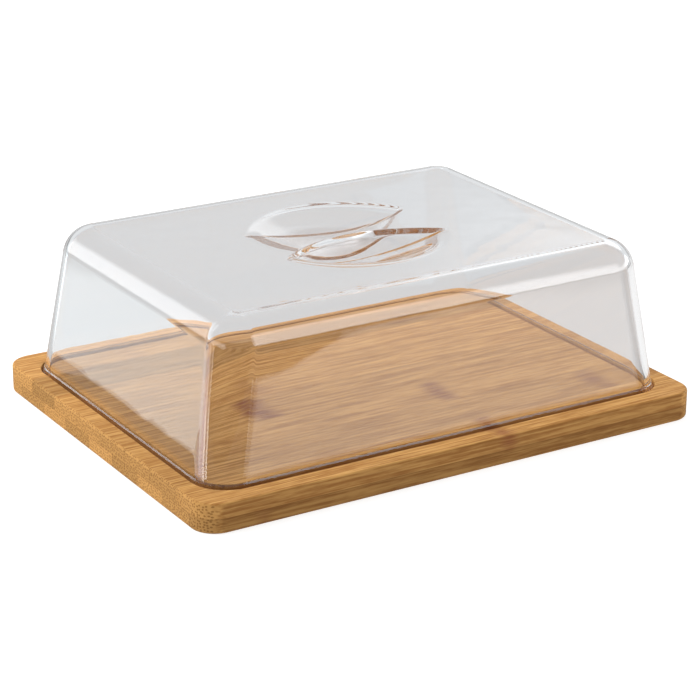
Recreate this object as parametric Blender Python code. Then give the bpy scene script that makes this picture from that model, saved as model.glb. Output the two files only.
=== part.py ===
"""Butter dish: a board of laminated bamboo strips with a clear lift-off lid.

Metres, +Z up. The origin is under the middle of the board, on the surface it stands on.
X runs along the board's grain. The lid's rim stands in a groove routed round the board.
"""
import math

import bmesh
import bpy

MM = 0.001

# Board
BOARD_LENGTH = 190 * MM
BOARD_WIDTH = 147 * MM
BOARD_THICKNESS = 10 * MM
BOARD_CORNER_RADIUS = 8.5 * MM
BOARD_EDGE_RADIUS = 1 * MM
BOARD_CORNER_STEPS = 8
BOARD_EDGE_STEPS = 3

# Bamboo strips: two layers, with the joints of the bottom layer halfway between those of the top layer
STRIP_PITCH = 17.6 * MM
TOP_STRIPS = 8
BOTTOM_STRIPS = 9
FIRST_TOP_JOINT = -55.4 * MM
FIRST_BOTTOM_JOINT = FIRST_TOP_JOINT - STRIP_PITCH / 2
GLUE_GAP = 0.3 * MM
CUTTER_MARGIN = 10 * MM

# Groove for the lid's rim
GROOVE_HALF_LENGTH = 88.8 * MM
GROOVE_HALF_WIDTH = 66.2 * MM
GROOVE_CORNER_RADIUS = 12.6 * MM
GROOVE_WIDTH = 4.3 * MM
GROOVE_DEPTH = 3.5 * MM

# Lid: outside sizes at the level of the board's top, walls leaning in by the draft
LID_HALF_LENGTH = 87.9 * MM
LID_HALF_WIDTH = 65.1 * MM
LID_HEIGHT_ABOVE_BOARD = 51.4 * MM
LID_END_DRAFT = math.radians(9.2)
LID_SIDE_DRAFT = math.radians(5.5)
LID_CORNER_RADIUS = 12 * MM
LID_TOP_RADIUS = 10.7 * MM
LID_WALL = 2.2 * MM
LID_SEAT_GAP = 0.3 * MM
RIM_ROUNDING = 0.5 * MM
LID_CORNER_STEPS = 10
LID_FILLET_STEPS = 7

# Finger recess in the lid's top: a shallow round dish, crossed along X by a bar that is level with the top
DISH_RADIUS = 35.5 * MM
DISH_SHOULDER = 5.5 * MM
DISH_DEPTH = 9.3 * MM
BAR_PINCH_HALF_WIDTH = 2.3 * MM
BAR_END_HALF_WIDTH = 12 * MM
BAR_END_X = 29 * MM
BAR_FLARE_LIMIT = 15 * MM
BAR_WALL_RUN = 1.8 * MM
BAR_WALL = 1.5 * MM
CHANNEL_ROUNDING = 1 * MM
CHANNEL_MIN_HALF_WIDTH = 0.6 * MM
PANEL_HALF_SIZE = 38 * MM
PANEL_CELLS = 26
BAR_CELLS = 2
WALL_CELLS = 3

LID_TOP_Z = BOARD_THICKNESS + LID_HEIGHT_ABOVE_BOARD
RIM_Z = BOARD_THICKNESS - GROOVE_DEPTH + LID_SEAT_GAP


def clear_scene():
    for obj in list(bpy.data.objects):
        bpy.data.objects.remove(obj, do_unlink=True)


def principled(name, color, roughness, transmission=0.0, ior=1.5):
    material = bpy.data.materials.new(name)
    material.use_nodes = True
    shader = material.node_tree.nodes["Principled BSDF"]
    shader.inputs["Base Color"].default_value = (*color, 1.0)
    shader.inputs["Roughness"].default_value = roughness
    shader.inputs["Metallic"].default_value = 0.0
    shader.inputs["Transmission Weight"].default_value = transmission
    shader.inputs["IOR"].default_value = ior
    return material


def rounded_rectangle(half_x, half_y, radius, corner_steps, side_steps=1):
    """Points round a rounded rectangle, anticlockwise, starting where the +X side meets its upper corner."""
    points = []
    for quadrant in range(4):
        sign_x = 1 if quadrant in (0, 3) else -1
        sign_y = 1 if quadrant in (0, 1) else -1
        centre_x = sign_x * (half_x - radius)
        centre_y = sign_y * (half_y - radius)
        for step in range(corner_steps + 1):
            angle = math.pi / 2 * (quadrant + step / corner_steps)
            points.append((centre_x + radius * math.cos(angle), centre_y + radius * math.sin(angle)))
        next_sign_x = 1 if quadrant in (2, 3) else -1
        next_sign_y = 1 if quadrant in (3, 0) else -1
        next_angle = math.pi / 2 * (quadrant + 1)
        end = (next_sign_x * (half_x - radius) + radius * math.cos(next_angle),
               next_sign_y * (half_y - radius) + radius * math.sin(next_angle))
        start = points[-1]
        for step in range(1, side_steps):
            t = step / side_steps
            points.append((start[0] + (end[0] - start[0]) * t, start[1] + (end[1] - start[1]) * t))
    return points


def add_ring(mesh, outline, z):
    return [mesh.verts.new((x, y, z)) for x, y in outline]


def bridge(mesh, lower, upper):
    """Quads between two rings of the same length; they face out when lower is outside or below upper."""
    count = len(lower)
    for i in range(count):
        j = (i + 1) % count
        mesh.faces.new((lower[i], lower[j], upper[j], upper[i]))


def new_object(name, mesh, material):
    mesh.normal_update()
    data = bpy.data.meshes.new(name)
    mesh.to_mesh(data)
    mesh.free()
    data.materials.append(material)
    obj = bpy.data.objects.new(name, data)
    bpy.context.scene.collection.objects.link(obj)
    return obj


# Board -----------------------------------------------------------------------------------------------------

def board_profile():
    """The board's section as (inset from the outline, z), from the underside round to the top."""
    steps = [math.pi / 2 * i / BOARD_EDGE_STEPS for i in range(BOARD_EDGE_STEPS + 1)]
    rise = [BOARD_EDGE_RADIUS * (1 - math.cos(a)) for a in steps]
    inset = [BOARD_EDGE_RADIUS * (1 - math.sin(a)) for a in steps]
    lower = list(zip(inset, rise))
    upper = [(i, BOARD_THICKNESS - r) for i, r in reversed(lower)]
    return lower + upper


def board_solid():
    """The whole board before it is divided into strips, with its groove."""
    mesh = bmesh.new()
    half_x, half_y = BOARD_LENGTH / 2, BOARD_WIDTH / 2

    def board_ring(inset, z):
        radius = BOARD_CORNER_RADIUS - inset
        return add_ring(mesh, rounded_rectangle(half_x - inset, half_y - inset, radius, BOARD_CORNER_STEPS), z)

    def groove_ring(inset, z):
        radius = GROOVE_CORNER_RADIUS - inset
        outline = rounded_rectangle(GROOVE_HALF_LENGTH - inset, GROOVE_HALF_WIDTH - inset, radius,
                                    BOARD_CORNER_STEPS)
        return add_ring(mesh, outline, z)

    top = BOARD_THICKNESS
    floor = BOARD_THICKNESS - GROOVE_DEPTH
    rings = [board_ring(inset, z) for inset, z in board_profile()]
    rings += [groove_ring(0, top), groove_ring(0, floor), groove_ring(GROOVE_WIDTH, floor),
              groove_ring(GROOVE_WIDTH, top)]
    for lower, upper in zip(rings, rings[1:]):
        bridge(mesh, lower, upper)
    mesh.faces.new(list(reversed(rings[0])))
    mesh.faces.new(rings[-1])
    return mesh


def strip_cutter(name, y_low, y_high, z_low, z_high):
    """A box round one strip, used as a cutter and left out of the part."""
    mesh = bmesh.new()
    bmesh.ops.create_cube(mesh, size=1.0)
    bmesh.ops.scale(mesh, verts=mesh.verts,
                    vec=(BOARD_LENGTH + 2 * CUTTER_MARGIN, y_high - y_low, z_high - z_low))
    bmesh.ops.translate(mesh, verts=mesh.verts, vec=(0, (y_low + y_high) / 2, (z_low + z_high) / 2))
    data = bpy.data.meshes.new(name)
    mesh.to_mesh(data)
    mesh.free()
    cutter = bpy.data.objects.new(name, data)
    bpy.context.scene.collection.objects.link(cutter)
    cutter.hide_render = True
    cutter.display_type = "WIRE"
    return cutter


def strip_layer(prefix, board_mesh, joints, z_low, z_high, material):
    """One layer of strips: the board's mesh, cut to the box between two neighbouring joints."""
    outer = BOARD_WIDTH / 2 + CUTTER_MARGIN
    edges = [-outer] + joints + [outer]
    for index, (y_low, y_high) in enumerate(zip(edges, edges[1:]), start=1):
        y_low += GLUE_GAP / 2
        y_high -= GLUE_GAP / 2
        name = f"{prefix}_{index}"
        cutter = strip_cutter(f"cutter_{name}", y_low, y_high, z_low, z_high)
        strip = bpy.data.objects.new(name, board_mesh.copy())
        strip.data.name = name
        strip.data.materials.append(material)
        bpy.context.scene.collection.objects.link(strip)
        cut = strip.modifiers.new("cut_to_strip", "BOOLEAN")
        cut.operation = "INTERSECT"
        cut.solver = "EXACT"
        cut.object = cutter


def build_board():
    bamboo_top = principled("bamboo_top", (0.55, 0.33, 0.13), 0.45)
    bamboo_bottom = principled("bamboo_bottom", (0.62, 0.40, 0.18), 0.45)
    mesh = board_solid()
    board_mesh = bpy.data.meshes.new("board_blank")
    mesh.to_mesh(board_mesh)
    mesh.free()
    middle = BOARD_THICKNESS / 2
    below = -CUTTER_MARGIN
    above = BOARD_THICKNESS + CUTTER_MARGIN
    top_joints = [FIRST_TOP_JOINT + STRIP_PITCH * i for i in range(TOP_STRIPS - 1)]
    bottom_joints = [FIRST_BOTTOM_JOINT + STRIP_PITCH * i for i in range(BOTTOM_STRIPS - 1)]
    strip_layer("board_top_strip", board_mesh, top_joints, middle + GLUE_GAP / 2, above, bamboo_top)
    strip_layer("board_bottom_strip", board_mesh, bottom_joints, below, middle - GLUE_GAP / 2, bamboo_bottom)
    bpy.data.meshes.remove(board_mesh)


# Lid -------------------------------------------------------------------------------------------------------

def smooth_step(t):
    t = min(max(t, 0.0), 1.0)
    return t * t * (3 - 2 * t)


def dish_depth(radius):
    """Depth of the dish below the lid's top: a rounded shoulder at the rim, then a bowl."""
    floor_radius = DISH_RADIUS - DISH_SHOULDER
    slope = 2 * DISH_DEPTH / DISH_RADIUS
    if radius >= DISH_RADIUS:
        return 0.0
    if radius >= floor_radius:
        return slope * (DISH_RADIUS - radius) ** 2 / (2 * DISH_SHOULDER)
    return DISH_DEPTH - slope * radius ** 2 / (2 * floor_radius)


def dish_slope(radius):
    floor_radius = DISH_RADIUS - DISH_SHOULDER
    slope = 2 * DISH_DEPTH / DISH_RADIUS
    if radius >= DISH_RADIUS:
        return 0.0
    if radius >= floor_radius:
        return slope * (DISH_RADIUS - radius) / DISH_SHOULDER
    return slope * radius / floor_radius


def bar_half_width(x):
    """Half the width of the bow-tie bar across the dish."""
    spread = BAR_END_HALF_WIDTH - BAR_PINCH_HALF_WIDTH
    return min(BAR_PINCH_HALF_WIDTH + spread * (x / BAR_END_X) ** 2, BAR_FLARE_LIMIT)


def channel_half_width(x):
    """Half the width of the hollow under the bar."""
    return bar_half_width(x) - BAR_WALL


def outer_height(x, y):
    """Height of the panel's outside over the lid's flat top."""
    wall = smooth_step((abs(y) - bar_half_width(x)) / BAR_WALL_RUN)
    return -dish_depth(math.hypot(x, y)) * wall


def inner_height(x, y):
    """Height of the panel's underside over the lid's flat top."""
    radius = math.hypot(x, y)
    distance = math.hypot(y, CHANNEL_ROUNDING) - CHANNEL_ROUNDING
    wall = smooth_step((distance - channel_half_width(x)) / BAR_WALL_RUN)
    slant = math.hypot(1.0, dish_slope(radius) * wall)
    return -LID_WALL * slant - dish_depth(radius) * wall


def panel_rows(edge):
    """Y of the grid rows on one side of the middle: across the bar, down its wall and out to the panel's edge."""
    rows = [edge * i / BAR_CELLS for i in range(BAR_CELLS + 1)]
    rows += [edge + BAR_WALL_RUN * i / WALL_CELLS for i in range(1, WALL_CELLS + 1)]
    outside = PANEL_CELLS // 2 - BAR_CELLS - WALL_CELLS
    start = rows[-1]
    rows += [start + (PANEL_HALF_SIZE - start) * i / outside for i in range(1, outside + 1)]
    return rows


def add_panel(mesh, edge_of_bar, height, facing_up):
    """A square grid over the finger recess, its rows bent to follow the bar. Returns its boundary ring."""
    grid = []
    for column in range(PANEL_CELLS + 1):
        x = PANEL_HALF_SIZE * (2 * column / PANEL_CELLS - 1)
        rows = panel_rows(edge_of_bar(x))
        ys = [-y for y in reversed(rows[1:])] + rows
        grid.append([mesh.verts.new((x, y, LID_TOP_Z + height(x, y))) for y in ys])
    for column in range(PANEL_CELLS):
        for row in range(PANEL_CELLS):
            corners = [grid[column][row], grid[column + 1][row], grid[column + 1][row + 1], grid[column][row + 1]]
            mesh.faces.new(corners if facing_up else corners[::-1])
    last = PANEL_CELLS
    boundary = [grid[last][row] for row in range(0, last)]
    boundary += [grid[column][last] for column in range(last, 0, -1)]
    boundary += [grid[0][row] for row in range(last, 0, -1)]
    boundary += [grid[column][0] for column in range(0, last)]
    return boundary


def fillet_section(draft, radius, height):
    """The section of a wall's top corner as (inset from the wall's foot, height), from the wall to the top."""
    centre_inset = (height - radius) * math.tan(draft) + radius / math.cos(draft)
    section = []
    for step in range(LID_FILLET_STEPS + 1):
        angle = draft + (math.pi / 2 - draft) * step / LID_FILLET_STEPS
        section.append((centre_inset - radius * math.cos(angle), height - radius + radius * math.sin(angle)))
    return section


def lid_rings(thickness, fillet_radius, top_drop):
    """Sizes of the lid's rings above the rim, as (half length, half width, corner radius, z)."""
    half_x = LID_HALF_LENGTH - thickness / math.cos(LID_END_DRAFT)
    half_y = LID_HALF_WIDTH - thickness / math.cos(LID_SIDE_DRAFT)
    corner = LID_CORNER_RADIUS - thickness
    height = LID_HEIGHT_ABOVE_BOARD - top_drop
    ends = fillet_section(LID_END_DRAFT, fillet_radius, height)
    sides = fillet_section(LID_SIDE_DRAFT, fillet_radius, height)
    start = ends[0][0]
    rings = []
    for (end_inset, end_z), (side_inset, side_z) in zip(ends, sides):
        radius = corner - (end_inset - start)
        z = BOARD_THICKNESS + (end_z + side_z) / 2
        rings.append((half_x - end_inset, half_y - side_inset, radius, z))
    return rings


def wall_ring(thickness, z, inset=0.0):
    """Sizes of a ring on the straight wall at height z."""
    rise = z - BOARD_THICKNESS
    half_x = LID_HALF_LENGTH - thickness / math.cos(LID_END_DRAFT) - rise * math.tan(LID_END_DRAFT)
    half_y = LID_HALF_WIDTH - thickness / math.cos(LID_SIDE_DRAFT) - rise * math.tan(LID_SIDE_DRAFT)
    return (half_x - inset, half_y - inset, LID_CORNER_RADIUS - thickness - inset, z)


def build_lid():
    mesh = bmesh.new()
    side_steps = PANEL_CELLS - LID_CORNER_STEPS

    def ring(half_x, half_y, radius, z):
        outline = rounded_rectangle(half_x, half_y, radius, LID_CORNER_STEPS, side_steps)
        # the grid's boundary starts at its front right corner, so the ring starts in the middle of that corner
        shift = LID_CORNER_STEPS // 2 + side_steps
        outline = outline[-shift:] + outline[:-shift]
        return add_ring(mesh, outline, z)

    outside = [ring(*wall_ring(0, RIM_Z, RIM_ROUNDING)), ring(*wall_ring(0, RIM_Z + RIM_ROUNDING))]
    outside += [ring(*sizes) for sizes in lid_rings(0, LID_TOP_RADIUS, 0)]
    inside = [ring(*wall_ring(LID_WALL, RIM_Z, -RIM_ROUNDING)), ring(*wall_ring(LID_WALL, RIM_Z + RIM_ROUNDING))]
    inside += [ring(*sizes) for sizes in lid_rings(LID_WALL, LID_TOP_RADIUS - LID_WALL, LID_WALL)]
    outside.append(add_panel(mesh, bar_half_width, outer_height, True))
    inside.append(add_panel(mesh, lambda x: max(channel_half_width(x), CHANNEL_MIN_HALF_WIDTH),
                            inner_height, False))
    for lower, upper in zip(outside, outside[1:]):
        bridge(mesh, lower, upper)
    for lower, upper in zip(inside, inside[1:]):
        bridge(mesh, upper, lower)
    bridge(mesh, inside[0], outside[0])

    clear_plastic = principled("clear_plastic", (0.95, 0.95, 0.95), 0.05, transmission=1.0, ior=1.49)
    lid = new_object("lid", mesh, clear_plastic)
    lid.data.shade_smooth()
    lid.data.set_sharp_from_angle(angle=math.radians(40))


clear_scene()
build_board()
build_lid()
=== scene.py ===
"""Looks of the butter dish: bamboo strips with real grain, a clear moulded lid and a plain pale studio."""
import math

import bmesh
import bpy
from mathutils import Matrix, Vector


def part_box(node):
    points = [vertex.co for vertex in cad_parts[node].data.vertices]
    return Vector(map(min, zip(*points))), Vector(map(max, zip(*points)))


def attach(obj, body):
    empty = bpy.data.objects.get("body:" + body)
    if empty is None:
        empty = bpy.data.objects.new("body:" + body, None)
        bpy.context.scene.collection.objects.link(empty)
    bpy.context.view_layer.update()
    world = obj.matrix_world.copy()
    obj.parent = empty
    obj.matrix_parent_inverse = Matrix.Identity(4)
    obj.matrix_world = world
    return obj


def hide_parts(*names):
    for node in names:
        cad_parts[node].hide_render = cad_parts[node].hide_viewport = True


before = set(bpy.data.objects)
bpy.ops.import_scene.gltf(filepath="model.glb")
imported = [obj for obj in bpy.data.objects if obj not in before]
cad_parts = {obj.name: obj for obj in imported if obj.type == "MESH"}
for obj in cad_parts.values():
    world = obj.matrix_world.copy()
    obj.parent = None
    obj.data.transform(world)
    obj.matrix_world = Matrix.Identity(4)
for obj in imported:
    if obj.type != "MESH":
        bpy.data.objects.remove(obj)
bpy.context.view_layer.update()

MM = 0.001
WHITE = (1, 1, 1, 1)

# Board -------------------------------------------------------------------------------------------------
BOARD_CORNER_RADIUS = 8.5 * MM
BOARD_EDGE_RADIUS = 1 * MM
GROOVE_HALF_LENGTH = 88.8 * MM
GROOVE_HALF_WIDTH = 66.2 * MM
GROOVE_CORNER_RADIUS = 12.6 * MM
GROOVE_WIDTH = 4.3 * MM
GROOVE_DEPTH = 3.5 * MM
GROOVE_LIP = 0.3 * MM
GROOVE_FLOOR_RADIUS = 0.7 * MM
BOARD_CORNER_STEPS = 20
ARC_STEPS = 5
CUT_TOLERANCE = 1e-7
STRIP_SHARP_ANGLE = math.radians(35)

# Lid: its length, width and corner radius are those at the level of the board's top --------------------
LID_HALF_LENGTH = 87.9 * MM
LID_HALF_WIDTH = 65.1 * MM
LID_END_DRAFT = math.radians(9.2)
LID_SIDE_DRAFT = math.radians(5.5)
LID_CORNER_RADIUS = 12 * MM
LID_TOP_RADIUS = 10.7 * MM
LID_WALL = 2.2 * MM
RIM_ROUNDING = 0.6 * MM
FOOT_BAND = 0.25 * MM
FOOT_BAND_START = 0.5 * MM
FOOT_BAND_RUN = 0.7 * MM
FOOT_STEPS = 6
LID_CORNER_STEPS = 24
LID_FILLET_STEPS = 20
LID_SHARP_ANGLE = math.radians(50)

# The finger recess in the lid's top, and the hollow bow-tie bar across it
DISH_RADIUS = 35.5 * MM
DISH_SHOULDER = 5.5 * MM
DISH_DEPTH = 9.3 * MM
BAR_PINCH_HALF_WIDTH = 2.3 * MM
BAR_END_HALF_WIDTH = 12 * MM
BAR_END_X = 29 * MM
BAR_FLARE_LIMIT = 15 * MM
BAR_WALL = 1.5 * MM
BAR_WALL_RUN = 1.8 * MM
BAR_WALL_ROUNDING = 0.2
CHANNEL_ROUNDING = 1 * MM
CHANNEL_MIN_HALF_WIDTH = 0.6 * MM
POCKET_WALL = 1 * MM
POCKET_THIN_RADIUS = 30 * MM
POCKET_THIN_RUN = 18 * MM
PANEL_HALF_SIZE = 38 * MM
PANEL_CELLS = 144
BAR_CELLS = 10
WALL_CELLS = 18

PLASTIC_TINT = (0.985, 0.985, 0.99, 1)
PLASTIC_IOR = 1.55
PLASTIC_ROUGHNESS = 0.008
RIPPLES_PER_METRE = 60
RIPPLE_HEIGHT = 0.25 * MM
RIPPLE_STRENGTH = 0.25
HAZE_PER_METRE = 90

BOARD_NODES = [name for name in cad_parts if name.startswith("board_")]
STRIP_BOXES = {name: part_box(name) for name in BOARD_NODES}
BOARD_LOW = Vector(min(box[0][i] for box in STRIP_BOXES.values()) for i in range(3))
BOARD_HIGH = Vector(max(box[1][i] for box in STRIP_BOXES.values()) for i in range(3))
BOARD_TOP = BOARD_HIGH.z
LID_LOW, LID_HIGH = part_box("lid")
LID_TOP = LID_HIGH.z
RIM_Z = LID_LOW.z

# Camera: where it looks from, and how it is held -------------------------------------------------------
VIEW_AZIMUTH = math.radians(-31.69)
VIEW_ELEVATION = math.radians(20.6)
VIEW_ROLL = math.radians(0.35)
VIEW_DISTANCE = 847 * MM
VIEW_TARGET = Vector((27.5 * MM, 42.0 * MM, 0))
LENS_MM = 118.9
NEAR_CLIP = 0.01
FAR_CLIP = 20


# Mesh helpers ------------------------------------------------------------------------------------------

def rounded_rectangle(half_x, half_y, radius, corner_steps, side_steps=1):
    """Points round a rounded rectangle, anticlockwise, from where the +X side meets the +Y corner."""
    points = []
    for quadrant in range(4):
        sign_x = 1 if quadrant in (0, 3) else -1
        sign_y = 1 if quadrant in (0, 1) else -1
        centre_x = sign_x * (half_x - radius)
        centre_y = sign_y * (half_y - radius)
        for step in range(corner_steps + 1):
            angle = math.pi / 2 * (quadrant + step / corner_steps)
            points.append((centre_x + radius * math.cos(angle), centre_y + radius * math.sin(angle)))
        next_sign_x = 1 if quadrant in (2, 3) else -1
        next_sign_y = 1 if quadrant in (3, 0) else -1
        next_angle = math.pi / 2 * (quadrant + 1)
        end = (next_sign_x * (half_x - radius) + radius * math.cos(next_angle),
               next_sign_y * (half_y - radius) + radius * math.sin(next_angle))
        start = points[-1]
        for step in range(1, side_steps):
            t = step / side_steps
            points.append((start[0] + (end[0] - start[0]) * t, start[1] + (end[1] - start[1]) * t))
    return points


def add_ring(mesh, outline, z):
    return [mesh.verts.new((x, y, z)) for x, y in outline]


def bridge(mesh, lower, upper):
    """Quads between two rings of the same length; they face out when lower is outside or below upper."""
    count = len(lower)
    for i in range(count):
        j = (i + 1) % count
        mesh.faces.new((lower[i], lower[j], upper[j], upper[i]))


def smooth_step(t):
    t = min(max(t, 0.0), 1.0)
    return t * t * (3 - 2 * t)


def finish_piece(name, mesh, material, body, sharp_angle):
    """Turns a bmesh into a smooth-shaded piece that rides on a body and takes its finish from a slot."""
    mesh.normal_update()
    data = bpy.data.meshes.new(name)
    mesh.to_mesh(data)
    mesh.free()
    data.materials.append(material)
    data.shade_smooth()
    data.set_sharp_from_angle(angle=sharp_angle)
    piece = bpy.data.objects.new(name, data)
    bpy.context.scene.collection.objects.link(piece)
    weighted = piece.modifiers.new("flat_faces_stay_flat", "WEIGHTED_NORMAL")
    weighted.mode = "FACE_AREA"
    weighted.keep_sharp = True
    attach(piece, body)
    return piece


# Node helpers ------------------------------------------------------------------------------------------

class Nodes:
    """A material's or world's node tree, with short calls for the nodes used here."""

    def __init__(self, owner):
        owner.use_nodes = True
        self.tree = owner.node_tree
        self.tree.nodes.clear()

    def add(self, kind, inputs=None, **settings):
        node = self.tree.nodes.new(kind)
        for key, value in settings.items():
            setattr(node, key, value)
        for key, value in (inputs or {}).items():
            self.set(node.inputs[key], value)
        return node

    def set(self, socket, value):
        if isinstance(value, bpy.types.NodeSocket):
            self.tree.links.new(value, socket)
        else:
            socket.default_value = value

    def math(self, operation, *values):
        node = self.add("ShaderNodeMath", operation=operation)
        for socket, value in zip(node.inputs, values):
            self.set(socket, value)
        return node.outputs[0]

    def total(self, values):
        result = values[0]
        for value in values[1:]:
            result = self.math("ADD", result, value)
        return result

    def ramp(self, value, low, high, to_low=0.0, to_high=1.0):
        """Smooth change of value from low to high, as a number from to_low to to_high."""
        node = self.add("ShaderNodeMapRange", interpolation_type="SMOOTHSTEP")
        for key, number in (("Value", value), ("From Min", low), ("From Max", high),
                            ("To Min", to_low), ("To Max", to_high)):
            self.set(node.inputs[key], number)
        return node.outputs["Result"]

    def vector(self, x, y, z):
        return self.add("ShaderNodeCombineXYZ", {"X": x, "Y": y, "Z": z}).outputs[0]

    def separate(self, vector):
        return self.add("ShaderNodeSeparateXYZ", {"Vector": vector}).outputs

    def noise(self, vector, detail=2.0, roughness=0.5):
        """Noise around 0.5, with features about one unit of the vector across."""
        return self.add("ShaderNodeTexNoise", {"Vector": vector, "Scale": 1.0, "Detail": detail,
                                               "Roughness": roughness}).outputs["Fac"]

    def mix(self, factor, a, b, blend="MIX"):
        node = self.add("ShaderNodeMix", data_type="RGBA", blend_type=blend)
        for index, value in ((0, factor), (6, a), (7, b)):
            self.set(node.inputs[index], value)
        return node.outputs[2]

    def shader_mix(self, factor, a, b):
        node = self.add("ShaderNodeMixShader")
        for socket, value in zip(node.inputs, (factor, a, b)):
            self.set(socket, value)
        return node.outputs[0]

    def output(self, shader, kind="ShaderNodeOutputMaterial"):
        self.add(kind, {"Surface": shader})


# Bamboo ------------------------------------------------------------------------------------------------

LIGHT_FIBRE = (0.555, 0.297, 0.094, 1)
BROWN_FIBRE = (0.33, 0.146, 0.040, 1)
DARK_BUNDLE = (0.13, 0.048, 0.013, 1)
# the knuckles' own brown, also the colour of the painted shade in the groove
KNUCKLE_AND_GROOVE_SHADE_BROWN = (0.20, 0.060, 0.026, 1)

# Features per metre along the fibres and across them
FINE_PER_METRE = (150, 1100)
FLECKS_PER_METRE = (35, 1300)
STREAKS_PER_METRE = (7, 600)
BANDS_PER_METRE = (5, 90)
BUNDLES_PER_METRE = (25, 950)
DOTS_PER_METRE = 1050
KNUCKLE_RAGS_PER_METRE = (70, 800)
WANDER_PER_METRE = (14, 25)

# What each layer adds to the shade; the offset centres their total on 0.5
FINE_WEIGHT = 0.6
FLECK_WEIGHT = 1.25
STREAK_WEIGHT = 0.5
BAND_WEIGHT = 0.15
SHADE_OFFSET = -0.75
SHADE_CONTRAST = 2.7
BUNDLE_DARKNESS = 0.24

# How cut ends differ: less contrast, a paler ground and darker bundles
END_CONTRAST_LOSS = 2.2
END_PALENESS = 0.3
END_BUNDLE_DARKNESS = 0.38

FIBRE_WANDER = 0.5 * MM
KNUCKLE_WANDER = 2.5 * MM
KNUCKLE_BOW = 0.35
KNUCKLE_RAGGEDNESS = 1.6
KNUCKLE_REACH = 1.6
LAYER_STAIN = 0.6
LAYER_STAIN_HALF_WIDTH = 0.4 * MM
SIDE_STAIN = 0.25
SIDE_STAIN_WIDTH = 0.35 * MM
# Painted shade in the groove: how dark it gets, and the depths below the top where it starts and is full
GROOVE_PAINTED_SHADE = 0.6
GROOVE_SHADE_START = 0.2 * MM
GROOVE_SHADE_END = 1.8 * MM
RIM_INNER_EDGE = 4 * MM
RIM_OUTER_EDGE = 2 * MM
BAMBOO_RELIEF = 0.05 * MM
BAMBOO_RELIEF_STRENGTH = 0.5
BAMBOO_SPECULAR = 0.05

# Painted light gained by the right end of the board, with more of it under the lid, and painted shade under
# the lid
PAINTED_LIGHT_ALONG_LENGTH = 0.035
PAINTED_LIGHT_ALONG_LENGTH_UNDER_LID = 0.09
PAINTED_SHADE_UNDER_LID = 0.15


def inside_rim(n, x, y):
    """1 in the part of the board inside its rim, and 0 at its outer faces."""
    from_end = n.math("SUBTRACT", BOARD_HIGH.x, n.math("ABSOLUTE", x))
    from_side = n.math("SUBTRACT", BOARD_HIGH.y, n.math("ABSOLUTE", y))
    return n.ramp(n.math("MINIMUM", from_end, from_side), RIM_OUTER_EDGE, RIM_INNER_EDGE)


def under_lid(n, x, y):
    """1 in the part of the board that the groove goes round, and 0 outside the groove."""
    from_end = n.math("SUBTRACT", GROOVE_HALF_LENGTH, n.math("ABSOLUTE", x))
    from_side = n.math("SUBTRACT", GROOVE_HALF_WIDTH, n.math("ABSOLUTE", y))
    return n.ramp(n.math("MINIMUM", from_end, from_side), 0.0, GROOVE_WIDTH)


def stretched(n, place, per_metre, offset):
    """A place in units that are longer along the fibres than across them, moved by offset."""
    x, y, z = place
    along, across = per_metre
    return n.vector(n.math("MULTIPLY", x, along), n.math("MULTIPLY", y, across),
                    n.math("ADD", n.math("MULTIPLY", z, across), offset))


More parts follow.
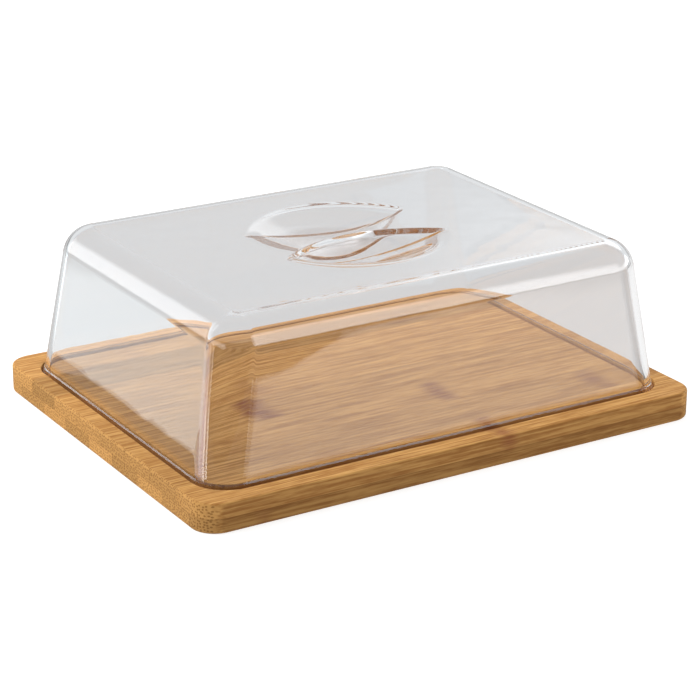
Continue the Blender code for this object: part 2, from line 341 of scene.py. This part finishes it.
def bamboo(name, front_y, back_y, tone, seed, knuckles, interface_z):
    """Bamboo whose fibres run along X. tone brightens or darkens the strip, and seed moves its pattern.

    front_y and back_y are the strip's sides.
    knuckles are (x, half width, strength) of the dark rings where the cane's joints were.
    interface_z is the height of the glue line between the two layers.
    """
    material = bpy.data.materials.new(name)
    n = Nodes(material)
    position = n.add("ShaderNodeTexCoord")
    x, y, z = n.separate(position.outputs["Object"])
    middle_y = (front_y + back_y) / 2
    half_y = (back_y - front_y) / 2

    rings = []
    for index, (ring_x, half_width, strength) in enumerate(knuckles):
        across = n.math("DIVIDE", n.math("SUBTRACT", y, middle_y), half_y)
        bow = n.math("MULTIPLY", n.math("MULTIPLY", across, across), KNUCKLE_BOW * half_width)
        ragged = n.noise(stretched(n, (x, y, z), KNUCKLE_RAGS_PER_METRE, seed + index), 3.0)
        rags = n.math("MULTIPLY", n.math("SUBTRACT", ragged, 0.5), KNUCKLE_RAGGEDNESS * half_width)
        shifted = n.math("ADD", n.math("SUBTRACT", n.math("SUBTRACT", x, ring_x), bow), rags)
        reach = n.math("ABSOLUTE", n.math("DIVIDE", shifted, half_width))
        rings.append(n.math("MULTIPLY", n.ramp(reach, KNUCKLE_REACH, 0.0), strength))
    knuckle = n.total(rings) if rings else 0.0

    # fibres wander a little, and more beside a knuckle
    wander = n.noise(stretched(n, (x, y, z), WANDER_PER_METRE, seed), 1.0)
    reach = n.math("ADD", FIBRE_WANDER, n.math("MULTIPLY", knuckle, KNUCKLE_WANDER))
    drift = n.math("MULTIPLY", n.math("SUBTRACT", wander, 0.5), reach)
    fibre_y = n.math("ADD", y, drift)
    fibre_z = n.math("ADD", z, drift)

    def along_grain(per_metre, offset):
        along, across = per_metre
        return n.vector(n.math("ADD", n.math("MULTIPLY", x, along), seed + offset),
                        n.math("MULTIPLY", fibre_y, across), n.math("MULTIPLY", fibre_z, across))

    fine = n.noise(along_grain(FINE_PER_METRE, 1), 2.0, 0.6)
    flecks = n.noise(along_grain(FLECKS_PER_METRE, 5), 2.0)
    streaks = n.noise(along_grain(STREAKS_PER_METRE, 9), 1.0)
    bands = n.noise(along_grain(BANDS_PER_METRE, 13), 1.0)
    bundles = n.add("ShaderNodeTexVoronoi", {"Vector": along_grain(BUNDLES_PER_METRE, 3), "Scale": 1.0,
                                             "Randomness": 0.6}).outputs["Distance"]
    # cut ends show the bundles as dots, and none of the streaks
    facing = n.separate(position.outputs["Normal"])
    end_grain = n.ramp(n.math("ABSOLUTE", facing[0]), 0.15, 0.55)
    across_grain = n.vector(n.math("MULTIPLY", fibre_y, DOTS_PER_METRE),
                            n.math("MULTIPLY", fibre_z, DOTS_PER_METRE), 0.0)
    dots = n.add("ShaderNodeTexVoronoi", {"Vector": across_grain, "Scale": 1.0, "Randomness": 0.7},
                 voronoi_dimensions="2D").outputs["Distance"]
    lines = n.math("MULTIPLY", n.ramp(bundles, 0.40, 0.15), n.math("SUBTRACT", 1.0, end_grain))
    bundle = n.math("ADD", lines, n.math("MULTIPLY", n.ramp(dots, 0.42, 0.16), end_grain))
    shade = n.total([n.math("MULTIPLY", fine, FINE_WEIGHT), n.math("MULTIPLY", flecks, FLECK_WEIGHT),
                     n.math("MULTIPLY", streaks, STREAK_WEIGHT), n.math("MULTIPLY", bands, BAND_WEIGHT),
                     SHADE_OFFSET])
    contrast = n.math("ADD", SHADE_CONTRAST, n.math("MULTIPLY", end_grain, -END_CONTRAST_LOSS))
    shade = n.math("ADD", 0.5, n.math("MULTIPLY", n.math("SUBTRACT", shade, 0.5), contrast))
    shade = n.math("ADD", shade, n.math("MULTIPLY", end_grain, END_PALENESS))
    colour = n.mix(n.math("MINIMUM", n.math("MAXIMUM", shade, 0.0), 1.0), BROWN_FIBRE, LIGHT_FIBRE)
    darkness = n.math("ADD", BUNDLE_DARKNESS, n.math("MULTIPLY", end_grain, END_BUNDLE_DARKNESS))
    colour = n.mix(n.math("MULTIPLY", bundle, darkness), colour, DARK_BUNDLE)

    # glue lines: a thin stain between the layers, weak on cut ends, and a fainter one on each strip's sides
    from_interface = n.math("ABSOLUTE", n.math("SUBTRACT", z, interface_z))
    stain = n.math("MULTIPLY", n.ramp(from_interface, LAYER_STAIN_HALF_WIDTH, 0.05 * MM, 0.0, LAYER_STAIN),
                   n.math("SUBTRACT", 1.0, n.math("MULTIPLY", end_grain, 0.8)))
    from_side = n.math("MINIMUM", n.math("SUBTRACT", y, front_y), n.math("SUBTRACT", back_y, y))
    side_stain = n.ramp(from_side, SIDE_STAIN_WIDTH, 0.1 * MM, 0.0, SIDE_STAIN)
    colour = n.mix(n.math("MAXIMUM", stain, side_stain), colour, DARK_BUNDLE)

    if rings:
        fibres = n.ramp(streaks, 0.35, 0.6, 0.45, 1.0)
        colour = n.mix(n.math("MULTIPLY", n.math("MINIMUM", knuckle, 1.0), fibres), colour, KNUCKLE_AND_GROOVE_SHADE_BROWN)
    # painted shade: the groove is painted darker down its walls and floor, where its shade falls
    groove_shade = n.ramp(z, BOARD_TOP - GROOVE_SHADE_START, BOARD_TOP - GROOVE_SHADE_END, 0.0, GROOVE_PAINTED_SHADE)
    groove_shade = n.math("MULTIPLY", groove_shade, inside_rim(n, x, y))
    colour = n.mix(groove_shade, colour, KNUCKLE_AND_GROOVE_SHADE_BROWN)
    # painted light and shade: a little paler towards the right end, and the top strips darker inside the
    # groove
    lid_shade_mask = n.math("MULTIPLY", under_lid(n, x, y), n.ramp(z, interface_z, BOARD_TOP))
    change = n.math("ADD", PAINTED_LIGHT_ALONG_LENGTH, n.math("MULTIPLY", lid_shade_mask, PAINTED_LIGHT_ALONG_LENGTH_UNDER_LID))
    along = n.math("MULTIPLY", n.math("DIVIDE", x, BOARD_HIGH.x), change)
    # painted shade under the lid, added to the painted light along the board
    shaded = n.math("SUBTRACT", along, n.math("MULTIPLY", lid_shade_mask, PAINTED_SHADE_UNDER_LID))
    tone_and_painted_light = n.math("MULTIPLY", n.math("ADD", shaded, 1.0), tone)
    colour = n.mix(1.0, colour, n.vector(tone_and_painted_light, tone_and_painted_light, tone_and_painted_light), "MULTIPLY")

    roughness = n.ramp(shade, 0.2, 0.8, 0.50, 0.40)
    relief = n.total([n.math("MULTIPLY", fine, 0.5), n.math("MULTIPLY", bundle, -0.5),
                      n.math("MULTIPLY", streaks, 0.3)])
    bump = n.add("ShaderNodeBump", {"Strength": BAMBOO_RELIEF_STRENGTH, "Distance": BAMBOO_RELIEF,
                                    "Height": relief})
    shader = n.add("ShaderNodeBsdfPrincipled", {"Base Color": colour, "Roughness": roughness,
                                                "Specular IOR Level": BAMBOO_SPECULAR,
                                                "Normal": bump.outputs[0]})
    n.output(shader.outputs[0])
    return material


# Each strip's tone and its knuckles as (x, half width, strength), from the front of the board to its back
TOP_STRIPS = [
    (0.93, [(16 * MM, 3.5 * MM, 0.7)]),
    (0.84, [(70 * MM, 4.5 * MM, 0.7)]),
    (0.88, [(18 * MM, 4 * MM, 0.75)]),
    (0.87, [(-43 * MM, 5 * MM, 0.9)]),
    (0.94, [(-34 * MM, 4 * MM, 0.25)]),
    (0.97, []),
    (0.74, []),
    (1.02, [(-54 * MM, 4 * MM, 0.25)]),
]
BOTTOM_STRIPS = [
    (0.76, [(-75 * MM, 2.5 * MM, 0.35)]),
    (0.88, []),
    (1.02, []),
    (0.82, [(30 * MM, 4 * MM, 0.4)]),
    (1.06, []),
    (0.84, [(-60 * MM, 4 * MM, 0.4)]),
    (1.04, []),
    (0.86, [(50 * MM, 4 * MM, 0.4)]),
    (0.98, []),
]
STRIP_SEED_STEP = 17.0
BOTTOM_SEED = 203


def edge_arc(radius):
    """A quarter round as (distance from the outer face, distance from the flat face)."""
    angles = [math.pi / 2 * i / ARC_STEPS for i in range(ARC_STEPS + 1)]
    return [(radius * (1 - math.cos(a)), radius * (1 - math.sin(a))) for a in angles]


def board_profile():
    """The rim's section as (inset from the outline, z), from the underside round to the top."""
    arc = edge_arc(BOARD_EDGE_RADIUS)
    lower = [(inset, rise) for inset, rise in reversed(arc)]
    upper = [(inset, BOARD_TOP - drop) for inset, drop in arc]
    return lower + upper


def groove_profile():
    """The groove's section as (inset from its outer wall, z), from its outer lip to its inner lip."""
    floor = BOARD_TOP - GROOVE_DEPTH
    lip = edge_arc(GROOVE_LIP)
    foot = edge_arc(GROOVE_FLOOR_RADIUS)
    outer = [(-inset, BOARD_TOP - drop) for inset, drop in reversed(lip)]
    outer += [(inset, floor + rise) for inset, rise in foot]
    inner = [(GROOVE_WIDTH - inset, z) for inset, z in reversed(outer)]
    return outer + inner


def board_solid():
    """The whole board before it is divided into strips, with its groove."""
    mesh = bmesh.new()

    def ring(half_x, half_y, radius, inset, z):
        outline = rounded_rectangle(half_x - inset, half_y - inset, radius - inset, BOARD_CORNER_STEPS)
        return add_ring(mesh, outline, z)

    rings = [ring(BOARD_HIGH.x, BOARD_HIGH.y, BOARD_CORNER_RADIUS, *point) for point in board_profile()]
    rings += [ring(GROOVE_HALF_LENGTH, GROOVE_HALF_WIDTH, GROOVE_CORNER_RADIUS, *point)
              for point in groove_profile()]
    for lower, upper in zip(rings, rings[1:]):
        bridge(mesh, lower, upper)
    mesh.faces.new(list(reversed(rings[0])))
    mesh.faces.new(rings[-1])
    return mesh


def cut_away(mesh, point, normal):
    """Removes what lies on the normal's side of a plane, and closes the cut."""
    geometry = mesh.verts[:] + mesh.edges[:] + mesh.faces[:]
    bmesh.ops.bisect_plane(mesh, geom=geometry, plane_co=point, plane_no=normal, clear_outer=True,
                           dist=CUT_TOLERANCE)
    bmesh.ops.holes_fill(mesh, edges=[e for e in mesh.edges if e.is_boundary], sides=0)


def build_strips():
    """Cuts the board along its glue joints into one piece for each strip."""
    blank = board_solid()
    interface_z = (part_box("board_bottom_strip_1")[1].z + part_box("board_top_strip_1")[0].z) / 2
    for layer, strips in (("top", TOP_STRIPS), ("bottom", BOTTOM_STRIPS)):
        boxes = [STRIP_BOXES[f"board_{layer}_strip_{i + 1}"] for i in range(len(strips))]
        joints = [(a[1].y + b[0].y) / 2 for a, b in zip(boxes, boxes[1:])]
        edges = [BOARD_LOW.y] + joints + [BOARD_HIGH.y]
        for i, (tone, knuckles) in enumerate(strips):
            mesh = blank.copy()
            up = 1 if layer == "top" else -1
            cut_away(mesh, (0, 0, interface_z), (0, 0, -up))
            if i > 0:
                cut_away(mesh, (0, edges[i], 0), (0, -1, 0))
            if i < len(strips) - 1:
                cut_away(mesh, (0, edges[i + 1], 0), (0, 1, 0))
            bmesh.ops.recalc_face_normals(mesh, faces=mesh.faces[:])
            seed = STRIP_SEED_STEP * i + (0 if layer == "top" else BOTTOM_SEED)
            material = bamboo(f"bamboo_{layer}_{i + 1}", edges[i], edges[i + 1], tone, seed, knuckles,
                              interface_z)
            piece = finish_piece(f"{layer}_strip_{i + 1}", mesh, material, "board",
                                 STRIP_SHARP_ANGLE)
            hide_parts(f"board_{layer}_strip_{i + 1}")
    blank.free()


# Lid ---------------------------------------------------------------------------------------------------

def dish_depth(radius):
    """Depth of the dish below the lid's top: a rounded shoulder at the rim, then a bowl."""
    floor_radius = DISH_RADIUS - DISH_SHOULDER
    slope = 2 * DISH_DEPTH / DISH_RADIUS
    if radius >= DISH_RADIUS:
        return 0.0
    if radius >= floor_radius:
        t = (DISH_RADIUS - radius) / DISH_SHOULDER
        return slope * DISH_SHOULDER * (t ** 3 - t ** 4 / 2)
    return DISH_DEPTH - slope * radius ** 2 / (2 * floor_radius)


def dish_slope(radius):
    """How steeply the dish falls towards its middle."""
    floor_radius = DISH_RADIUS - DISH_SHOULDER
    slope = 2 * DISH_DEPTH / DISH_RADIUS
    if radius >= DISH_RADIUS:
        return 0.0
    if radius >= floor_radius:
        return slope * smooth_step((DISH_RADIUS - radius) / DISH_SHOULDER)
    return slope * radius / floor_radius


def bar_half_width(x):
    """Half the width of the bow-tie bar across the dish."""
    spread = BAR_END_HALF_WIDTH - BAR_PINCH_HALF_WIDTH
    return min(BAR_PINCH_HALF_WIDTH + spread * (x / BAR_END_X) ** 2, BAR_FLARE_LIMIT)


def channel_half_width(x):
    """Half the width of the hollow under the bar."""
    return bar_half_width(x) - BAR_WALL


def wall_step(t):
    """A straight slope from 0 to 1 with a small rounding at its start and its end."""
    t = min(max(t, 0.0), 1.0)
    scale = 1 / (2 * BAR_WALL_ROUNDING * (1 - BAR_WALL_ROUNDING))
    if t < BAR_WALL_ROUNDING:
        return t * t * scale
    if t > 1 - BAR_WALL_ROUNDING:
        return 1 - (1 - t) ** 2 * scale
    return (t - BAR_WALL_ROUNDING / 2) / (1 - BAR_WALL_ROUNDING)


def outer_height(x, y):
    """Height of the panel's outside over the lid's flat top."""
    wall = wall_step((abs(y) - bar_half_width(x)) / BAR_WALL_RUN)
    return -dish_depth(math.hypot(x, y)) * wall


def inner_height(x, y):
    """Height of the panel's underside over the lid's flat top. The pocket floors thin towards the middle."""
    radius = math.hypot(x, y)
    distance = math.hypot(y, CHANNEL_ROUNDING) - CHANNEL_ROUNDING
    wall = wall_step((distance - channel_half_width(x)) / BAR_WALL_RUN)
    slant = math.hypot(1.0, dish_slope(radius) * wall)
    thinning = smooth_step((POCKET_THIN_RADIUS - radius) / POCKET_THIN_RUN)
    thickness = LID_WALL + (POCKET_WALL - LID_WALL) * thinning * wall
    return -thickness * slant - dish_depth(radius) * wall


def panel_rows(edge):
    """Y of the grid rows on one side: across the bar, down its wall and out to the panel's edge."""
    rows = [edge * i / BAR_CELLS for i in range(BAR_CELLS + 1)]
    # on the wall they crowd together at its top and its foot, where it bends
    shares = [(1 - math.cos(math.pi * i / WALL_CELLS)) / 2 for i in range(1, WALL_CELLS + 1)]
    rows += [edge + BAR_WALL_RUN * share for share in shares]
    outside = PANEL_CELLS // 2 - BAR_CELLS - WALL_CELLS
    start = rows[-1]
    rows += [start + (PANEL_HALF_SIZE - start) * i / outside for i in range(1, outside + 1)]
    return rows


def add_panel(mesh, edge_of_bar, height, facing_up):
    """A square grid over the finger recess, its rows bent to follow the bar. Returns its boundary ring."""
    grid = []
    for column in range(PANEL_CELLS + 1):
        x = PANEL_HALF_SIZE * (2 * column / PANEL_CELLS - 1)
        rows = panel_rows(edge_of_bar(x))
        ys = [-y for y in reversed(rows[1:])] + rows
        grid.append([mesh.verts.new((x, y, LID_TOP + height(x, y))) for y in ys])
    for column in range(PANEL_CELLS):
        for row in range(PANEL_CELLS):
            corners = [grid[column][row], grid[column + 1][row],
                       grid[column + 1][row + 1], grid[column][row + 1]]
            mesh.faces.new(corners if facing_up else corners[::-1])
    last = PANEL_CELLS
    boundary = [grid[last][row] for row in range(0, last)]
    boundary += [grid[column][last] for column in range(last, 0, -1)]
    boundary += [grid[0][row] for row in range(last, 0, -1)]
    boundary += [grid[column][0] for column in range(0, last)]
    return boundary


def fillet_section(draft, radius, height):
    """The section of a wall's top corner as (inset from the wall's foot, height), from wall to top."""
    centre_inset = (height - radius) * math.tan(draft) + radius / math.cos(draft)
    section = []
    for step in range(LID_FILLET_STEPS + 1):
        angle = draft + (math.pi / 2 - draft) * step / LID_FILLET_STEPS
        section.append((centre_inset - radius * math.cos(angle),
                        height - radius + radius * math.sin(angle)))
    return section


def lid_rings(thickness, fillet_radius, top_drop):
    """Sizes of the lid's rings above the rim, as (half length, half width, corner radius, z)."""
    half_x = LID_HALF_LENGTH - thickness / math.cos(LID_END_DRAFT)
    half_y = LID_HALF_WIDTH - thickness / math.cos(LID_SIDE_DRAFT)
    corner = LID_CORNER_RADIUS - thickness
    height = LID_TOP - BOARD_TOP - top_drop
    ends = fillet_section(LID_END_DRAFT, fillet_radius, height)
    sides = fillet_section(LID_SIDE_DRAFT, fillet_radius, height)
    start = ends[0][0]
    rings = []
    for (end_inset, end_z), (side_inset, side_z) in zip(ends, sides):
        radius = corner - (end_inset - start)
        z = BOARD_TOP + (end_z + side_z) / 2
        rings.append((half_x - end_inset, half_y - side_inset, radius, z))
    return rings


def wall_ring(thickness, z, inset):
    """Sizes of a ring on the straight wall at height z, moved inwards by inset."""
    rise = z - BOARD_TOP
    half_x = LID_HALF_LENGTH - thickness / math.cos(LID_END_DRAFT) - rise * math.tan(LID_END_DRAFT)
    half_y = LID_HALF_WIDTH - thickness / math.cos(LID_SIDE_DRAFT) - rise * math.tan(LID_SIDE_DRAFT)
    return (half_x - inset, half_y - inset, LID_CORNER_RADIUS - thickness - inset, z)


def clear_plastic():
    """Clear moulded plastic, with the faint ripple of a moulded surface."""
    material = bpy.data.materials.new("clear_plastic")
    n = Nodes(material)
    position = n.add("ShaderNodeTexCoord").outputs["Object"]
    x, y, z = n.separate(position)

    def scaled(per_metre, offset):
        return n.vector(n.math("MULTIPLY", x, per_metre), n.math("MULTIPLY", y, per_metre),
                        n.math("ADD", n.math("MULTIPLY", z, per_metre), offset))

    ripple = n.noise(scaled(RIPPLES_PER_METRE, 0.0), 1.0)
    bump = n.add("ShaderNodeBump", {"Strength": RIPPLE_STRENGTH, "Distance": RIPPLE_HEIGHT,
                                    "Height": ripple})
    roughness = n.ramp(n.noise(scaled(HAZE_PER_METRE, 3.0), 2.0), 0.3, 0.7, 0.0, PLASTIC_ROUGHNESS)
    shader = n.add("ShaderNodeBsdfPrincipled", {
        "Base Color": PLASTIC_TINT, "Roughness": roughness, "Transmission Weight": 1.0, "IOR": PLASTIC_IOR,
        "Normal": bump.outputs[0]})
    n.output(shader.outputs[0])
    return material


def build_lid():
    """One closed shell: the outside and the inside from the rim up to the recess, joined along the rim."""
    mesh = bmesh.new()
    side_steps = PANEL_CELLS - LID_CORNER_STEPS

    def ring(half_x, half_y, radius, z):
        outline = rounded_rectangle(half_x, half_y, radius, LID_CORNER_STEPS, side_steps)
        # the panel's boundary starts at its front right corner, so the ring starts in the middle of its own
        shift = LID_CORNER_STEPS // 2 + side_steps
        outline = outline[-shift:] + outline[:-shift]
        return add_ring(mesh, outline, z)

    rim = edge_arc(RIM_ROUNDING)
    outside = [ring(*wall_ring(0, RIM_Z + rise, inset - FOOT_BAND)) for inset, rise in reversed(rim)]
    for step in range(FOOT_STEPS + 1):
        t = step / FOOT_STEPS
        swell = FOOT_BAND * (1 - smooth_step(t))
        outside.append(ring(*wall_ring(0, BOARD_TOP + FOOT_BAND_START + FOOT_BAND_RUN * t, -swell)))
    outside += [ring(*sizes) for sizes in lid_rings(0, LID_TOP_RADIUS, 0)]
    inside = [ring(*wall_ring(LID_WALL, RIM_Z + rise, -inset)) for inset, rise in reversed(rim)]
    inside += [ring(*sizes) for sizes in lid_rings(LID_WALL, LID_TOP_RADIUS - LID_WALL, LID_WALL)]
    outside.append(add_panel(mesh, bar_half_width, outer_height, True))
    inside.append(add_panel(mesh, lambda x: max(channel_half_width(x), CHANNEL_MIN_HALF_WIDTH),
                            inner_height, False))
    for lower, upper in zip(outside, outside[1:]):
        bridge(mesh, lower, upper)
    for lower, upper in zip(inside, inside[1:]):
        bridge(mesh, upper, lower)
    bridge(mesh, inside[0], outside[0])
    lid = finish_piece("clear_lid", mesh, clear_plastic(), "lid", LID_SHARP_ANGLE)
    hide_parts("lid")
    # the lid casts no shadow, so light from the lamps and the room reaches the board under it
    lid.visible_shadow = False
    lid.visible_diffuse = False


# Studio ------------------------------------------------------------------------------------------------

# What the lid mirrors of the floor: brightness, tint, and half planes as (x part, y part, least distance).
# A later card covers an earlier one.
CARDS = [
    (1.7, (0.85, 0.93, 0.96), [(-1, 0, 127 * MM), (0.772, 0.635, -106.7 * MM)]),
    (0.6, (1, 1, 1), [(0, 1, 95 * MM), (1, 0, -127 * MM)]),
    (1.35, (1, 1, 1), [(0, -1, 104 * MM), (0.859, 0.512, -102 * MM), (0.584, 0.812, -180 * MM),
                       (-0.707, -0.707, -8 * MM)]),
    (2.0, (0.80, 0.78, 1.0), [(-1, 0, 120 * MM), (-0.772, -0.635, 106.7 * MM),
                              (0.513, 0.858, -120.1 * MM)]),
    (0.95, (1, 1, 1), [(1, 0, 100 * MM), (0.5, 0.866, 20 * MM)]),
    (5.0, (1, 1, 1), [(-1, 0, 127 * MM), (-0.513, -0.858, 120.1 * MM), (0.426, 0.905, -120 * MM)]),
]
CARD_EDGE = 1.5 * MM
UNLIT_FLOOR = (0.2, 0.2, 0.2, 1)
FLOOR_FADE_START = 0.33
FLOOR_FADE_END = 0.40
FAR_FLOOR_SHARE = 0.4

FLOOR_RADIUS = 4.0
FLOOR_GAP = 0.05 * MM
FLOOR_PAINT = (0.35, 0.35, 0.35, 1)
FLOOR_GLOW = 0.8
GLOW_THROUGH_LID = 0.7
COOL_WHITE = (0.975, 1.0, 1.02, 1)

# A ray's count of mirrorings passes the first of these at one mirroring, and the second at two
MIRRORED_ONCE = 0.5
MIRRORED_TWICE = 1.5
# What a ray mirrored twice or more sees all round
DEEP_BRIGHTNESS = 0.8


def build_floor():
    """A plain pale floor, a little dimmer through the lid. Mirrored once, it shows the cards on grey."""
    mesh = bmesh.new()
    bmesh.ops.create_circle(mesh, cap_ends=True, segments=96, radius=FLOOR_RADIUS)
    data = bpy.data.meshes.new("floor")
    mesh.to_mesh(data)
    mesh.free()
    floor = bpy.data.objects.new("floor", data)
    bpy.context.scene.collection.objects.link(floor)
    floor.location.z = BOARD_LOW.z - FLOOR_GAP
    material = bpy.data.materials.new("floor")
    data.materials.append(material)
    n = Nodes(material)
    x, y, _ = n.separate(n.add("ShaderNodeTexCoord").outputs["Object"])
    path = n.add("ShaderNodeLightPath").outputs
    matt = n.add("ShaderNodeBsdfDiffuse", {"Color": FLOOR_PAINT}).outputs[0]
    glow = n.add("ShaderNodeEmission", {"Color": WHITE, "Strength": FLOOR_GLOW}).outputs[0]
    paint = n.add("ShaderNodeAddShader", {0: matt, 1: glow}).outputs[0]
    through = n.add("ShaderNodeEmission", {"Color": COOL_WHITE, "Strength": GLOW_THROUGH_LID}).outputs[0]
    lit = UNLIT_FLOOR
    for brightness, tint, sides in CARDS:
        inside = 1.0
        for side_x, side_y, least in sides:
            along = n.math("ADD", n.math("MULTIPLY", x, side_x), n.math("MULTIPLY", y, side_y))
            inside = n.math("MULTIPLY", inside, n.ramp(along, least - CARD_EDGE, least + CARD_EDGE))
        lit = n.mix(inside, lit, tuple(channel * brightness for channel in tint) + (1,))
    from_middle = n.math("SQRT", n.math("ADD", n.math("MULTIPLY", x, x), n.math("MULTIPLY", y, y)))
    far = n.ramp(from_middle, FLOOR_FADE_START, FLOOR_FADE_END, 1.0, FAR_FLOOR_SHARE)
    reflected = n.add("ShaderNodeEmission", {"Color": lit, "Strength": far}).outputs[0]
    plain = n.shader_mix(path["Is Transmission Ray"], paint, through)
    # light that runs on inside the walls is mirrored often, and sees an even floor
    even = n.add("ShaderNodeEmission", {"Color": WHITE, "Strength": DEEP_BRIGHTNESS}).outputs[0]
    mirrored = n.shader_mix(n.math("GREATER_THAN", path["Glossy Depth"], MIRRORED_TWICE), reflected, even)
    n.output(n.shader_mix(n.math("GREATER_THAN", path["Glossy Depth"], MIRRORED_ONCE), plain, mirrored))


# What the lid mirrors of the room: heading and half width in degrees, lowest and highest z of the
# direction, and brightness. A later box covers an earlier one.
SOFT_BOXES = [
    (-121, 60, -1.0, 0.33, 0.2),
    (155, 45, -0.1, 0.19, 1.8),
    (121, 9, -0.1, 0.60, 2.4),
    (-25, 38, -0.02, 0.19, 2.6),
    (-59, 9, -0.02, 0.60, 3.4),
    (37, 17, 0.29, 0.60, 1.45),
]
BOX_SIDE_EDGE = 4
BOX_LOWER_EDGE = 0.03
BOX_UPPER_EDGE = 0.06
ROOM_MIRRORED = 0.78
ROOM_BRIGHTNESS = 0.62

# Lamps: name, direction from the dish, distance, size, power
LAMPS = [
    ("key_left", (-0.75, 0.4, 0.75), 0.75, 0.6, 5.5),
    ("top_back", (0.3, 0.9, 0.9), 0.9, 0.7, 4),
    ("fill_right", (0.85, -0.5, 0.2), 0.6, 0.5, 1.0),
]
BOUNCES = 200


def build_world():
    """Soft white light all round. Mirrored once, it shows soft boxes, with a dark room behind the camera."""
    world = bpy.data.worlds.new("studio")
    bpy.context.scene.world = world
    n = Nodes(world)
    direction = n.add("ShaderNodeTexCoord").outputs["Generated"]
    x, y, z = n.separate(direction)
    path = n.add("ShaderNodeLightPath").outputs
    heading = n.math("ARCTAN2", y, x)
    reflected = ROOM_MIRRORED
    for centre, half_width, low, high, brightness in SOFT_BOXES:
        turn = n.math("SUBTRACT", heading, math.radians(centre))
        off = n.math("ABSOLUTE", n.math("WRAP", turn, math.pi, -math.pi))
        across = n.ramp(off, math.radians(half_width + BOX_SIDE_EDGE),
                        math.radians(half_width - BOX_SIDE_EDGE))
        up = n.math("MULTIPLY", n.ramp(z, low - BOX_LOWER_EDGE, low + BOX_LOWER_EDGE),
                    n.ramp(z, high + BOX_UPPER_EDGE, high - BOX_UPPER_EDGE))
        patch = n.add("ShaderNodeMix", {0: n.math("MULTIPLY", across, up), 2: reflected, 3: brightness},
                      data_type="FLOAT")
        reflected = patch.outputs[0]
    strength = n.add("ShaderNodeMix", data_type="FLOAT")
    n.set(strength.inputs[0], n.math("GREATER_THAN", path["Glossy Depth"], MIRRORED_ONCE))
    n.set(strength.inputs[2], ROOM_BRIGHTNESS)
    deep = n.add("ShaderNodeMix", {0: n.math("GREATER_THAN", path["Glossy Depth"], MIRRORED_TWICE),
                                   2: reflected, 3: DEEP_BRIGHTNESS}, data_type="FLOAT")
    n.set(strength.inputs[3], deep.outputs[0])
    background = n.add("ShaderNodeBackground", {"Color": COOL_WHITE, "Strength": strength.outputs[0]})
    n.output(background.outputs[0], "ShaderNodeOutputWorld")


def soft_light(name, towards, distance, size, power):
    """A large square lamp aimed at the dish from a direction, hidden from sight and from reflections."""
    data = bpy.data.lights.new(name, "AREA")
    data.shape = "SQUARE"
    data.size = size
    data.energy = power
    lamp = bpy.data.objects.new(name, data)
    bpy.context.scene.collection.objects.link(lamp)
    direction = Vector(towards).normalized()
    lamp.location = direction * distance
    lamp.rotation_mode = "QUATERNION"
    lamp.rotation_quaternion = direction.to_track_quat("Z", "Y")
    lamp.visible_camera = False
    lamp.visible_glossy = False
    lamp.visible_transmission = False


def build_camera():
    """The camera at the photograph's angle, held with a small roll."""
    data = bpy.data.cameras.new("camera")
    data.lens = LENS_MM
    data.clip_start = NEAR_CLIP
    data.clip_end = FAR_CLIP
    camera = bpy.data.objects.new("camera", data)
    bpy.context.scene.collection.objects.link(camera)
    level = math.cos(VIEW_ELEVATION)
    back = Vector((math.sin(VIEW_AZIMUTH) * level, -math.cos(VIEW_AZIMUTH) * level,
                   math.sin(VIEW_ELEVATION)))
    right = (-back).cross(Vector((0, 0, 1))).normalized()
    up = back.cross(right)
    turned_right = right * math.cos(VIEW_ROLL) + up * math.sin(VIEW_ROLL)
    turned_up = up * math.cos(VIEW_ROLL) - right * math.sin(VIEW_ROLL)
    rotation = Matrix((turned_right, turned_up, back)).transposed()
    camera.matrix_world = Matrix.Translation(VIEW_TARGET + back * VIEW_DISTANCE) @ rotation.to_4x4()
    bpy.context.scene.camera = camera


build_strips()
build_lid()
build_floor()
build_world()
for lamp_settings in LAMPS:
    soft_light(*lamp_settings)
build_camera()
bpy.context.scene.view_settings.view_transform = "Standard"
# light runs a long way inside the clear walls before it leaves them
bpy.context.scene.cycles.max_bounces = BOUNCES
bpy.context.scene.cycles.glossy_bounces = BOUNCES
bpy.context.scene.cycles.transmission_bounces = BOUNCES
